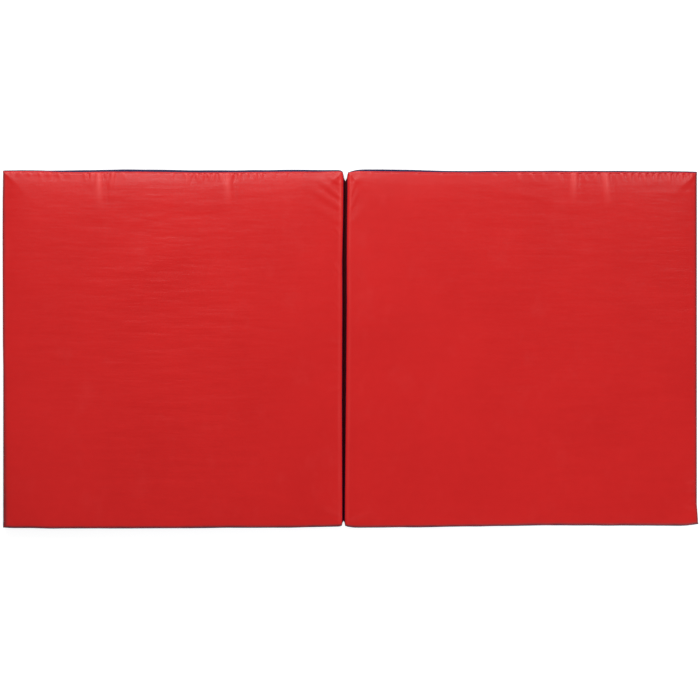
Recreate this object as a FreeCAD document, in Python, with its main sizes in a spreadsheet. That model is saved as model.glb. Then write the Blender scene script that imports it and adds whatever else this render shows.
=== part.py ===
import FreeCAD, Part
import os
import re
import Sketcher

# Folding gym mat: two foam panels in zipped vinyl covers, joined by one strip under the groove.
# Millimetres, +Z up. The origin is the middle of the underside.
# Each panel is built in its own frame, where X runs from the hinge line out to the free end.
# The left panel is the same build turned half round about the hinge line.

doc = FreeCAD.newDocument("FoldingGymMat")
sheet = doc.addObject("Spreadsheet::Sheet", "Dims")

drivingSizes = {
    # the mat as a whole
    "left_length": 960,        # free end to hinge wall
    "right_length": 987,
    "mat_width": 1000,
    "mat_height": 50,
    "groove_width": 11,        # between the two hinge walls
    # foam and vinyl
    "vinyl": 0.8,
    "firm_layer": 18,          # upper foam layer, denser than the one below
    "edge_radius": 6,          # top edges and upright corners
    "skirt": 2,                # top sheet below its rounded edge, down to the seam
    # corners beside the groove, pulled in by their seams
    "pull_radius": 45,
    "pull_back": 9,
    "pull_front": 6.5,
    # hinge strip
    "strip_flange": 12,        # sewn in between base sheet and foam
    "strip_clear": 2.5,        # from the end of a pulled-in corner to the strip's end
    # the band at the free end, pressed in to a valley along the zip
    "band_lap": 10,            # from the mat's side to the seam with the boxing strip
    "valley_end": 22,          # from the mat's side to the valley
    "valley_land": 5.6,        # flat band left above and below the valley
    "valley_depth": 4,
    "valley_slope": 50,        # degrees
    "valley_lip": 1.5,         # rounding where the band turns in
    "slot_opening": 12,
    "slot_hem": 6,             # valley floor left at each end of the slot
    # zip tapes, coils and stops
    "tape": 0.6,
    "tape_width": 16,
    "tape_tail": 20,           # tape past the coils' ends
    "chain_gap": 1.4,          # between the two coils
    "coil_width": 2.5,
    "coil_thick": 2.4,
    "coil_round": 0.8,
    "chain_end": 50,           # from the mat's side to the coils' end
    "stop_length": 3.5,
    "stop_shell": 0.6,
    "stop_rise": 1.6,
    # slider
    "slider_length": 14,
    "slider_nose": 10.6,
    "slider_tail": 9.4,
    "slider_plate": 1,
    "slider_play": 0.2,        # running clearance to tapes, coils and stops
    "cast_round": 0.3,         # edges of the slider's face and bridge
    "divider": 0.9,
    "divider_length": 4,
    "bridge_length": 9.6,
    "bridge_width": 2,
    "bridge_rise": 1.5,        # clear height under the bridge
    "bridge_thick": 0.8,
    # pull
    "pull_length": 24,
    "pull_thick": 1,
    "pull_head": 7,            # width over the two arms
    "pull_tip": 9,
    "pull_window": 6.6,
    "pull_window_width": 3.2,
    "tab_round": 2,
    # foam behind the zip
    "dent_play": 0.5,
}

for row, (alias, size) in enumerate(drivingSizes.items(), 1):
    sheet.set("A%d" % row, alias)
    sheet.set("B%d" % row, str(size))
    sheet.setAlias("B%d" % row, alias)
doc.recompute()


def cells(formula):
    """The formula with each size's word turned into a reference to its cell."""
    return re.sub(r"[a-z_]+", lambda word: "Dims." + word[0] if word[0] in drivingSizes else word[0], formula)


def value(formula):
    return float(sheet.evalExpression(cells(formula)))


# shared places in a panel's frame
halfWidth = "(mat_width / 2)"
hingeWall = "(groove_width / 2)"
seamLevel = "(mat_height - edge_radius - skirt)"
laminateLevel = "(mat_height - vinyl - firm_layer)"
zipLevel = "((vinyl + %s) / 2)" % seamLevel
hingeLine = "(left_length - right_length) / 2"

# shared places in a zip's frame: X = 0 is the band's outer face, Z = 0 the chain, which runs along Y
hemBack = "(-valley_depth - vinyl)"
tapeBack = "(-valley_depth - vinyl - tape)"
coilFace = "(-valley_depth - vinyl + coil_thick)"
backPlate = "(-valley_depth - vinyl - tape - slider_play - slider_plate)"
facePlate = "(-valley_depth - vinyl + coil_thick + slider_play)"
plateFace = "(-valley_depth - vinyl + coil_thick + slider_play + slider_plate)"
pullAxis = "(-valley_depth - vinyl + coil_thick + slider_play + slider_plate + bridge_rise / 2)"
coilInner = "(chain_gap / 2)"
coilOuter = "(chain_gap / 2 + coil_width)"
bandReach = "(mat_width / 2 - band_lap)"
valleyReach = "(mat_width / 2 - valley_end)"
valleyRise = "((%s - vinyl) / 2 - valley_land)" % seamLevel
chainReach = "(mat_width / 2 - chain_end)"
parkedReach = "(mat_width / 2 - chain_end - slider_length / 2 - slider_play)"


def newBody(name, x, y, z, turned):
    body = doc.addObject("PartDesign::Body", name)
    body.Label = name
    upAxis = FreeCAD.Vector(0, 0, 1)
    body.Placement = FreeCAD.Placement(FreeCAD.Vector(), FreeCAD.Rotation(upAxis, 180 if turned else 0))
    for axis, formula in (("x", x), ("y", y), ("z", z)):
        body.setExpression("Placement.Base." + axis, cells(formula))
    return body


def panelBody(panel, name):
    """A body in the panel's frame: the origin is on the hinge line, at the floor."""
    return newBody(panel["side"] + name, hingeLine, "0", "0", panel["turned"])


def zipBody(panel, name, along="0"):
    """A body in the frame of the panel's zip, moved along the chain."""
    out = "-" if panel["turned"] else "+"
    reach = "%s %s (%s + %s)" % (hingeLine, out, hingeWall, panel["length"])
    return newBody(panel["side"] + name, reach, "0 %s %s" % (out, along), zipLevel, panel["turned"])


def newSketch(body, name, plane, level="0"):
    sketch = body.newObject("Sketcher::SketchObject", name)
    support = [feature for feature in body.Origin.OriginFeatures if feature.Role == plane][0]
    sketch.AttachmentSupport = [(support, "")]
    sketch.MapMode = "FlatFace"
    sketch.setExpression("AttachmentOffset.Base.z", cells(level))
    return sketch


def bind(sketch, formula, *rule):
    """A dimension whose size is a formula of the sheet's cells."""
    number = sketch.addConstraint(Sketcher.Constraint(*rule, value(formula)))
    sketch.setExpression("Constraints[%d]" % number, cells(formula))


def polygon(sketch, corners):
    """A closed outline of straight sides, each corner given by two formulas."""
    points = [FreeCAD.Vector(value(x), value(y), 0) for x, y in corners]
    first = sketch.GeometryCount
    for start, end in zip(points, points[1:] + points[:1]):
        sketch.addGeometry(Part.LineSegment(start, end), False)
    for i, (x, y) in enumerate(corners):
        following = first + (i + 1) % len(corners)
        sketch.addConstraint(Sketcher.Constraint("Coincident", first + i, 2, following, 1))
        bind(sketch, x, "DistanceX", -1, 1, first + i, 1)
        bind(sketch, y, "DistanceY", -1, 1, first + i, 1)


def rectangle(sketch, left, right, low, high):
    polygon(sketch, [(left, low), (right, low), (right, high), (left, high)])


def extrude(kind, body, name, sketch, length, reverse, both, taper):
    feature = body.newObject(kind, name)
    feature.Profile = sketch
    feature.setExpression("Length", cells(length))
    feature.Reversed = reverse
    if both:
        feature.SideType = "Symmetric"
    if taper:
        feature.setExpression("TaperAngle", cells(taper))
    doc.recompute()
    return feature


def pad(body, name, sketch, length, reverse=False, both=False, taper=None):
    return extrude("PartDesign::Pad", body, name, sketch, length, reverse, both, taper)


def pocket(body, name, sketch, length, reverse=False, both=False, taper=None):
    before = body.Shape.Volume
    feature = extrude("PartDesign::Pocket", body, name, sketch, length, reverse, both, taper)
    if not feature.Shape.Volume < before:
        raise RuntimeError("%s takes nothing from %s" % (name, body.Label))
    return feature


def fillet(body, name, wanted, radius):
    """Round the edges of the body's last feature for which wanted is true."""
    base = body.Tip
    edges = ["Edge%d" % i for i, edge in enumerate(base.Shape.Edges, 1) if wanted(edge.BoundBox)]
    feature = body.newObject("PartDesign::Fillet", name)
    feature.Base = (base, edges)
    feature.setExpression("Radius", cells(radius))
    doc.recompute()


def hollow(body, name, openFaces):
    """Turn the body's last feature into a sheet of vinyl, open at the faces for which openFaces is true."""
    base = body.Tip
    faces = ["Face%d" % i for i, face in enumerate(base.Shape.Faces, 1) if openFaces(face.BoundBox)]
    feature = body.newObject("PartDesign::Thickness", name)
    feature.Base = (base, faces)
    feature.setExpression("Value", cells("vinyl"))
    feature.Reversed = True
    doc.recompute()


def near(a, b):
    return abs(a - b) < 1e-4


def isUpright(box):
    return box.ZLength > value("vinyl / 2") and near(box.XLength, 0) and near(box.YLength, 0)


def isAt(level):
    height = value(level)
    return lambda box: near(box.ZMin, height) and near(box.ZMax, height)


def cornerDepth(pull):
    """How far a pulled-in corner reaches along the hinge wall."""
    return "sqrt(2 * pull_radius * %s - %s ^ 2)" % (pull, pull)


def panelOutline(sketch, panel, inset):
    """A panel from above: a rectangle whose hinge corners are arcs, each tangent to the hinge wall."""
    radius = "(pull_radius - %s)" % inset
    wall = "(%s + %s)" % (hingeWall, inset)
    end = "(%s + %s - %s)" % (hingeWall, panel["length"], inset)
    side = "(%s - %s)" % (halfWidth, inset)
    upCentre = "(%s - %s)" % (halfWidth, cornerDepth(panel["upPull"]))
    downCentre = "(%s - %s)" % (cornerDepth(panel["downPull"]), halfWidth)

    def arc(centreHeight, sideHeight):
        """The arc between the mat's side and the hinge wall, and its point on the side."""
        r = value(radius)
        centre = FreeCAD.Vector(value(wall) + r, value(centreHeight), 0)
        circle = Part.Circle(centre, FreeCAD.Vector(0, 0, 1), r)
        across = (r ** 2 - (value(sideHeight) - centre.y) ** 2) ** 0.5
        tip = FreeCAD.Vector(centre.x - across, value(sideHeight), 0)
        ends = sorted((circle.parameter(tip), circle.parameter(FreeCAD.Vector(value(wall), centre.y, 0))))
        return Part.ArcOfCircle(circle, *ends), tip

    upArc, upTip = arc(upCentre, side)
    downArc, downTip = arc(downCentre, "(-%s)" % side)
    outerUp = FreeCAD.Vector(value(end), value(side), 0)
    outerDown = FreeCAD.Vector(value(end), -value(side), 0)
    wallUp = FreeCAD.Vector(value(wall), value(upCentre), 0)
    wallDown = FreeCAD.Vector(value(wall), value(downCentre), 0)
    endLine, upLine, upCorner, wallLine, downCorner, downLine = sketch.addGeometry([
        Part.LineSegment(outerDown, outerUp), Part.LineSegment(outerUp, upTip), upArc,
        Part.LineSegment(wallUp, wallDown), downArc, Part.LineSegment(downTip, outerDown)], False)
    for rule in (("Coincident", endLine, 2, upLine, 1), ("Coincident", upLine, 2, upCorner, 1),
                 ("Tangent", upCorner, 2, wallLine, 1), ("Tangent", wallLine, 2, downCorner, 1),
                 ("Coincident", downCorner, 2, downLine, 1), ("Coincident", downLine, 2, endLine, 1),
                 ("Vertical", endLine), ("Vertical", wallLine),
                 ("Horizontal", upLine), ("Horizontal", downLine)):
        sketch.addConstraint(Sketcher.Constraint(*rule))
    bind(sketch, radius, "Radius", upCorner)
    bind(sketch, radius, "Radius", downCorner)
    bind(sketch, upCentre, "DistanceY", -1, 1, upCorner, 3)
    bind(sketch, downCentre, "DistanceY", -1, 1, downCorner, 3)
    bind(sketch, end, "DistanceX", -1, 1, endLine, 1)
    bind(sketch, wall, "DistanceX", -1, 1, wallLine, 1)
    bind(sketch, side, "DistanceY", -1, 1, upLine, 1)
    bind(sketch, "(-%s)" % side, "DistanceY", -1, 1, downLine, 1)


def block(body, panel, inset, low, high, roundTop=False):
    """A solid with the panel's outline between two levels, rounded at its upright corners."""
    sketch = newSketch(body, "Outline", "XY_Plane", low)
    panelOutline(sketch, panel, inset)
    pad(body, "Block", sketch, "%s - %s" % (high, low))
    isTop = isAt(high)
    fillet(body, "Rounding", lambda box: isUpright(box) or (roundTop and isTop(box)), "edge_radius - " + inset)


def stripRebate(body, panel):
    """Room for the hinge strip's flange on top of the base sheet."""
    sketch = newSketch(body, "StripOutline", "XY_Plane", "vinyl")
    up = "%s - %s - strip_clear" % (halfWidth, cornerDepth(panel["upPull"]))
    down = "%s + strip_clear - %s" % (cornerDepth(panel["downPull"]), halfWidth)
    rectangle(sketch, "groove_width / 4", "groove_width / 2 + strip_flange", down, up)
    pocket(body, "StripRebate", sketch, "vinyl", reverse=True)


def zipDent(body, panel):
    """The free end of the foam is pressed in behind the zip."""
    sketch = newSketch(body, "DentSection", "XZ_Plane")
    end = "%s + %s" % (hingeWall, panel["length"])
    rectangle(sketch, "%s + %s - dent_play" % (end, backPlate), "%s + vinyl" % end,
              zipLevel + " - tape_width - dent_play", zipLevel + " + tape_width + dent_play")
    pocket(body, "ZipDent", sketch, "2 * (%s + valley_lip)" % valleyReach, both=True)


def foamBase(panel):
    body = panelBody(panel, "foam_base")
    block(body, panel, "vinyl", "vinyl", laminateLevel)
    stripRebate(body, panel)
    zipDent(body, panel)


def foamTop(panel):
    body = panelBody(panel, "foam_top")
    block(body, panel, "vinyl", laminateLevel, "(mat_height - vinyl)", roundTop=True)
    zipDent(body, panel)


def baseSheet(panel):
    block(panelBody(panel, "base_sheet"), panel, "0", "0", "vinyl")


def topSheet(panel):
    """The playing surface: one sheet drawn over the rounded edges down to the seam."""
    body = panelBody(panel, "top_sheet")
    block(body, panel, "0", seamLevel, "mat_height", roundTop=True)
    hollow(body, "Sheet", isAt(seamLevel))


def boxingStrip(panel):
    """The band along both sides and the hinge wall, ending just round the outer corners."""
    body = panelBody(panel, "boxing_strip")
    block(body, panel, "0", "vinyl", seamLevel)
    isLow, isHigh = isAt("vinyl"), isAt(seamLevel)
    hollow(body, "Ring", lambda box: isLow(box) or isHigh(box))
    sketch = newSketch(body, "EndOpening", "YZ_Plane", "%s + %s" % (hingeWall, panel["length"]))
    rectangle(sketch, "-" + bandReach, bandReach, "vinyl / 2", "mat_height")
    pocket(body, "OpenEnd", sketch, "2 * vinyl")
    stripRebate(body, panel)


def zipPanel(panel):
    """The band at the free end: a pressed valley with a slot, behind which the tapes are sewn."""
    body = zipBody(panel, "zip_panel")
    sketch = newSketch(body, "BandOutline", "YZ_Plane", "-vinyl")
    rectangle(sketch, "-" + bandReach, bandReach, "vinyl - " + zipLevel, "%s - %s" % (seamLevel, zipLevel))
    pad(body, "Band", sketch, "vinyl")
    behind = "vinyl / cos(valley_slope) - vinyl * tan(valley_slope)"
    for name, level, grow in (("Bulge", "-vinyl", behind), ("Valley", "0", "0")):
        sketch = newSketch(body, name + "Outline", "YZ_Plane", level)
        reach = "(%s + %s)" % (valleyReach, grow)
        rise = "(%s + %s)" % (valleyRise, grow)
        rectangle(sketch, "-" + reach, reach, "-" + rise, rise)
        if name == "Bulge":
            pad(body, name, sketch, "valley_depth", reverse=True, taper="-valley_slope")
        else:
            pocket(body, name, sketch, "valley_depth", taper="-valley_slope")
    sketch = newSketch(body, "SlotOutline", "YZ_Plane", "-valley_depth")
    reach = "(%s - valley_depth * tan(valley_slope) - slot_hem)" % valleyReach
    rectangle(sketch, "-" + reach, reach, "-slot_opening / 2", "slot_opening / 2")
    pocket(body, "Slot", sketch, "2 * vinyl")
    reach, rise = value(valleyReach), value(valleyRise)

    def isLip(box):
        onFace = near(box.XMin, 0) and near(box.XMax, 0)
        return onFace and box.YMax < reach + 1 and box.YMin > -reach - 1 and box.ZMax < rise + 1e-3 \
            and box.ZMin > -rise - 1e-3

    fillet(body, "Lip", isLip, "valley_lip")


def acrossChain(row, start, end):
    """Low and high side of a piece that lies between two distances from the chain's middle."""
    return (start, end) if row == "upper" else ("-" + end, "-" + start)


def zipTape(panel, row):
    body = zipBody(panel, "zip_tape_" + row)
    sketch = newSketch(body, "TapeOutline", "YZ_Plane", tapeBack)
    reach = "(%s + tape_tail)" % chainReach
    rectangle(sketch, "-" + reach, reach, *acrossChain(row, coilInner, "tape_width"))
    pad(body, "Tape", sketch, "tape")


def zipCoil(panel, row):
    body = zipBody(panel, "zip_coil_" + row)
    sketch = newSketch(body, "CoilOutline", "YZ_Plane", hemBack)
    rectangle(sketch, "-" + chainReach, chainReach, *acrossChain(row, coilInner, coilOuter))
    pad(body, "Coil", sketch, "coil_thick")
    face = value(coilFace)
    fillet(body, "Crest", lambda box: near(box.XMin, face) and near(box.XMax, face) and box.YLength > 1e-3
           and near(box.ZLength, 0), "coil_round")


def zipStops(panel):
    """Two top stops, each closed round one tape's edge, and one wide bottom stop round both."""
    low = "(%s - stop_shell)" % tapeBack
    high = "(%s + stop_rise)" % hemBack
    for name, place in (("zip_top_stops", "-"), ("zip_bottom_stop", "")):
        body = zipBody(panel, name)
        body.AllowCompound = True
        sketch = newSketch(body, "Section", "XZ_Plane", place + chainReach)
        if place:
            for sign in ("", "-"):
                inner, middle, outer = sign + coilInner, "%s(chain_gap / 2 - stop_shell)" % sign, sign + coilOuter
                polygon(sketch, [(low, middle), (high, middle), (high, outer), (hemBack, outer),
                                 (hemBack, inner), (tapeBack, inner), (tapeBack, outer), (low, outer)])
        else:
            upperHalf = [(high, coilOuter), (hemBack, coilOuter), (hemBack, coilInner),
                         (tapeBack, coilInner), (tapeBack, coilOuter), (low, coilOuter)]
            lowerHalf = [(x, "-" + z) for x, z in reversed(upperHalf)]
            polygon(sketch, upperHalf + lowerHalf)
        pad(body, "Clamp", sketch, "stop_length", reverse=bool(place))


def zipSlider(panel):
    """Two plates joined by the divider between the coils, side flanges, and the bridge for the pull."""
    body = zipBody(panel, "zip_slider", parkedReach)
    half, tail, nose = "(slider_length / 2)", "(slider_tail / 2)", "(slider_nose / 2)"
    shoulder, mouth = "(slider_length / 8)", "(slider_length / 3)"

    def plate(name, level):
        sketch = newSketch(body, name + "Outline", "YZ_Plane", level)
        upperSide = [(half, "slider_tail / 3"), (mouth, nose), (shoulder, nose), ("-" + half, tail)]
        lowerSide = [(y, "-(%s)" % z) for y, z in reversed(upperSide)]
        polygon(sketch, upperSide + lowerSide)
        pad(body, name, sketch, "slider_plate")

    def isLevel(place):
        across = value(place)
        return lambda box: near(box.XMin, across) and near(box.XMax, across)

    plate("BackPlate", backPlate)
    sketch = newSketch(body, "DividerOutline", "YZ_Plane", "%s + slider_plate / 2" % backPlate)
    rectangle(sketch, "%s - divider_length" % half, "%s - slider_plate / 2" % half, "-divider / 2", "divider / 2")
    pad(body, "Divider", sketch, "%s - %s" % (facePlate, backPlate))
    plate("FacePlate", facePlate)
    sketch = newSketch(body, "FlangeOutline", "YZ_Plane", "%s + slider_play" % hemBack)
    inside = "(%s + slider_play)" % coilOuter
    for sign in ("", "-"):
        polygon(sketch, [("-" + half, sign + inside), (mouth, sign + inside), (mouth, sign + nose),
                         (shoulder, sign + nose), ("-" + half, sign + tail)])
    pad(body, "Flanges", sketch, "coil_thick + slider_plate / 2")
    fillet(body, "FaceRounding", isLevel(plateFace), "cast_round")
    sketch = newSketch(body, "BridgeSection", "XY_Plane")
    foot = "(%s - slider_plate / 2)" % plateFace
    under = "(%s + bridge_rise)" % plateFace
    over = "(%s + bridge_rise + bridge_thick)" % plateFace
    outer, bend = "(bridge_length / 2)", "(bridge_length / 2 - bridge_rise)"
    polygon(sketch, [(foot, "-" + outer), (foot, "-(%s - bridge_thick)" % outer),
                     (under, "-(%s - bridge_thick)" % bend), (under, "%s - bridge_thick" % bend),
                     (foot, "%s - bridge_thick" % outer), (foot, outer), (over, bend), (over, "-" + bend)])
    pad(body, "Bridge", sketch, "bridge_width", both=True)
    crown = value(over)
    fillet(body, "BridgeRounding", lambda box: near(box.XMax, crown) and box.XLength + box.YLength > 0.1, "cast_round")


def zipPull(panel):
    """A round bar that turns under the bridge, two arms beside it, and a tapered tab."""
    body = zipBody(panel, "zip_pull", parkedReach)
    sketch = newSketch(body, "BarSection", "XY_Plane")
    middle = FreeCAD.Vector(value(pullAxis), 0, 0)
    bar = sketch.addGeometry(Part.Circle(middle, FreeCAD.Vector(0, 0, 1), value("pull_thick / 2")), False)
    sketch.addConstraint(Sketcher.Constraint("PointOnObject", bar, 3, -1))
    bind(sketch, pullAxis, "DistanceX", -1, 1, bar, 3)
    bind(sketch, "pull_thick", "Diameter", bar)
    pad(body, "Bar", sketch, "pull_head", both=True)
    sketch = newSketch(body, "TabOutline", "YZ_Plane", "%s - pull_thick / 2" % pullAxis)
    head, tip, eye = "(pull_head / 2)", "(pull_tip / 2)", "(pull_window_width / 2)"
    start, waist = "(pull_thick / 8)", "(pull_window + pull_thick)"
    upperSide = [("pull_length", "pull_tip / 4"), ("pull_length - pull_tip / 4", tip), (waist, head), (start, head),
                 (start, eye), ("pull_window", eye)]
    lowerSide = [(y, "-(%s)" % z) for y, z in reversed(upperSide)]
    polygon(sketch, upperSide + lowerSide)
    pad(body, "Tab", sketch, "pull_thick")
    armsEnd = value(waist)
    fillet(body, "TabCorners", lambda box: box.YMin > armsEnd + 1 and near(box.YLength + box.ZLength, 0), "tab_round")


def hingeStrip():
    """One strip of cover vinyl under the groove, sewn in along the lower edge of both panels."""
    body = newBody("hinge_strip", hingeLine, "0", "0", False)
    sketch = newSketch(body, "Outline", "XY_Plane", "vinyl")
    reach = "(groove_width / 2 + strip_flange)"
    rectangle(sketch, "-" + reach, reach, "%s + strip_clear - %s" % (cornerDepth("pull_front"), halfWidth),
              "%s - %s - strip_clear" % (halfWidth, cornerDepth("pull_back")))
    pad(body, "Strip", sketch, "vinyl")


panels = (
    {"side": "left_", "length": "left_length", "turned": True, "upPull": "pull_front", "downPull": "pull_back"},
    {"side": "right_", "length": "right_length", "turned": False, "upPull": "pull_back", "downPull": "pull_front"},
)

for panel in panels:
    for make in (foamBase, foamTop, baseSheet, topSheet, boxingStrip, zipPanel, zipStops, zipSlider, zipPull):
        make(panel)
    for row in ("upper", "lower"):
        zipTape(panel, row)
        zipCoil(panel, row)
hingeStrip()

doc.recompute()
for item in doc.Objects:
    if "Invalid" in item.State or "Error" in item.State:
        raise RuntimeError("%s failed: %s" % (item.Label, item.State))

os.makedirs("parts", exist_ok=True)
for body in doc.Objects:
    if body.TypeId == "PartDesign::Body":
        if body.Shape.isNull() or not body.Shape.isValid():
            raise RuntimeError("%s has no valid shape" % body.Label)
        body.Shape.exportStep(os.path.join("parts", body.Label + ".step"))
        print(body.Label, len(body.Shape.Solids), round(body.Shape.Volume, 1))
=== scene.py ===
import math

import bpy
import numpy as np
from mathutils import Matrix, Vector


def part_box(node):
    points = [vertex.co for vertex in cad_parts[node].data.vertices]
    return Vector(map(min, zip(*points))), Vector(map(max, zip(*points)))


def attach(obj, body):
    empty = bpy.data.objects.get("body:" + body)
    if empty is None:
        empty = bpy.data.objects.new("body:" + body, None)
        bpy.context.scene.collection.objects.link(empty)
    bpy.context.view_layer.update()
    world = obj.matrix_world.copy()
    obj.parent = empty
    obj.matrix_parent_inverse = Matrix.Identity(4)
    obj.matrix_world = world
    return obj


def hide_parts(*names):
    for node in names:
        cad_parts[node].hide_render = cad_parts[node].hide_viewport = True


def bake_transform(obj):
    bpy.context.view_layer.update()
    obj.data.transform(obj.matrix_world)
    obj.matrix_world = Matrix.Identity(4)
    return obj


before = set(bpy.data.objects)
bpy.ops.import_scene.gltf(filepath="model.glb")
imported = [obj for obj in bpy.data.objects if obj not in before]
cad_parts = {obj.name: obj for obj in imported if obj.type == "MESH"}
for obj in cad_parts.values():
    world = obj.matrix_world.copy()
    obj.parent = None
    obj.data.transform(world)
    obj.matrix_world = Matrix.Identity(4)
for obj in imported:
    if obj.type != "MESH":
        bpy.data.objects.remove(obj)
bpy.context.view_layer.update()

halfWidth = 0.5  # of the mat, across
sides = {"left": -1, "right": 1}  # which way each panel runs from the hinge line


# small helpers for selecting and shaping

def onlySelect(*pieces):
    if bpy.context.object and bpy.context.object.mode != "OBJECT":
        bpy.ops.object.mode_set(mode="OBJECT")
    bpy.ops.object.select_all(action="DESELECT")
    for piece in pieces:
        piece.select_set(True)
        bpy.context.view_layer.objects.active = piece


def newPiece(name, piece=None):
    piece = piece or bpy.context.object
    piece.name = piece.data.name = name
    return piece


def openEdit(piece, kind="FACE", action="SELECT"):
    onlySelect(piece)
    bpy.ops.object.mode_set(mode="EDIT")
    bpy.ops.mesh.select_mode(type=kind)
    bpy.ops.mesh.select_all(action=action)


def closeEdit():
    bpy.ops.object.mode_set(mode="OBJECT")


def resizeAll(piece, size, centre):
    openEdit(piece)
    bpy.ops.transform.resize(value=tuple(size), center_override=tuple(centre))
    closeEdit()


def applyPlace():
    bpy.ops.object.transform_apply(location=True, rotation=True, scale=True)


def getPoints(piece):
    points = np.empty(len(piece.data.vertices) * 3)
    piece.data.vertices.foreach_get("co", points)
    return points.reshape(-1, 3)


def setPoints(piece, points):
    piece.data.vertices.foreach_set("co", np.ascontiguousarray(points).ravel())
    piece.data.update()


def faceCentres(piece):
    centres = np.empty(len(piece.data.polygons) * 3)
    piece.data.polygons.foreach_get("center", centres)
    return centres.reshape(-1, 3)


# opens a piece for editing with the wanted faces selected, given one True or False for each
def openFaces(piece, wanted):
    onlySelect(piece)
    mesh = piece.data
    mesh.vertices.foreach_set("select", np.zeros(len(mesh.vertices), bool))
    mesh.edges.foreach_set("select", np.zeros(len(mesh.edges), bool))
    mesh.polygons.foreach_set("select", np.ascontiguousarray(wanted, bool))
    bpy.ops.object.mode_set(mode="EDIT")


def dropFaces(piece, unwanted):
    openFaces(piece, unwanted)
    bpy.ops.mesh.select_mode(type="FACE")
    bpy.ops.mesh.delete(type="FACE")
    closeEdit()


def applyModifier(piece, kind, **settings):
    onlySelect(piece)
    modifier = piece.modifiers.new(kind.title(), kind)
    for key, setting in settings.items():
        setattr(modifier, key, setting)
    bpy.ops.object.modifier_apply(modifier=modifier.name)


def repeat(piece, count, step):
    applyModifier(piece, "ARRAY", count=count, use_relative_offset=False, use_constant_offset=True,
            constant_offset_displace=tuple(step))


# gives a sheet its wall, inwards, and keeps sharp tucks from growing spikes
def thicken(piece, wall):
    count = len(piece.data.vertices)
    applyModifier(piece, "SOLIDIFY", thickness=wall, offset=-1, use_even_offset=True)
    points = getPoints(piece)
    across = points[count:2 * count] - points[:count]
    length = np.maximum(np.linalg.norm(across, axis=1), 1e-9)
    points[count:2 * count] = points[:count] + across * np.minimum(1, 1.5 * wall / length)[:, None]
    setPoints(piece, points)


def smooth(piece, degrees=40):
    onlySelect(piece)
    bpy.ops.object.shade_smooth_by_angle(angle=math.radians(degrees))


def ease(t):
    t = np.clip(t, 0, 1)
    return t * t * (3 - 2 * t)


# smooth noise from -1 to 1 that repeats every 256 cells
def softNoise(across, along, seed):
    lattice = np.random.default_rng(seed).uniform(-1, 1, (256, 256))
    i, j = np.floor(across).astype(int), np.floor(along).astype(int)
    s, t = ease(across - i), ease(along - j)
    near, far = lattice[i % 256, j % 256], lattice[(i + 1) % 256, j % 256]
    nearUp, farUp = lattice[i % 256, (j + 1) % 256], lattice[(i + 1) % 256, (j + 1) % 256]
    return (near * (1 - s) + far * s) * (1 - t) + (nearUp * (1 - s) + farUp * s) * t


# materials

def newGroup(name, inputs, outputs):
    tree = bpy.data.node_groups.new(name, "ShaderNodeTree")
    for label, start in inputs.items():
        tree.interface.new_socket(label, in_out="INPUT", socket_type="NodeSocketFloat").default_value = start
    for label in outputs:
        tree.interface.new_socket(label, in_out="OUTPUT", socket_type="NodeSocketFloat")
    return tree, tree.nodes.new("NodeGroupInput"), tree.nodes.new("NodeGroupOutput")


# gives a node its inputs, each a value or the socket that it comes from
def feed(tree, node, inputs):
    for key, source in inputs.items():
        if isinstance(source, bpy.types.NodeSocket):
            tree.links.new(source, node.inputs[key])
        else:
            node.inputs[key].default_value = source
    return node


def addNode(tree, kind, inputs=None, **settings):
    node = tree.nodes.new("ShaderNode" + kind)
    for key, setting in settings.items():
        setattr(node, key, setting)
    return feed(tree, node, inputs or {})


# object coordinates, scaled differently along each axis
def stretched(tree, scale=(1, 1, 1), turn=(0, 0, 0)):
    place = addNode(tree, "TexCoord")
    mapping = addNode(tree, "Mapping", {"Vector": place.outputs["Object"], "Scale": scale, "Rotation": turn})
    return mapping.outputs["Vector"]


def noise(tree, scale, detail=2.0, vector=None, roughness=0.5):
    vector = vector or stretched(tree)
    return addNode(tree, "TexNoise", {"Vector": vector, "Scale": scale, "Detail": detail,
            "Roughness": roughness}).outputs["Fac"]


def math2(tree, operation, first, second=0.0):
    return addNode(tree, "Math", {0: first, 1: second}, operation=operation).outputs[0]


def times(tree, first, second):
    return math2(tree, "MULTIPLY", first, second)


def plus(tree, first, second):
    return math2(tree, "ADD", first, second)


def remap(tree, source, low, high, toLow, toHigh):
    return addNode(tree, "MapRange", {"Value": source, "From Min": low, "From Max": high,
            "To Min": toLow, "To Max": toHigh}).outputs["Result"]


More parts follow.
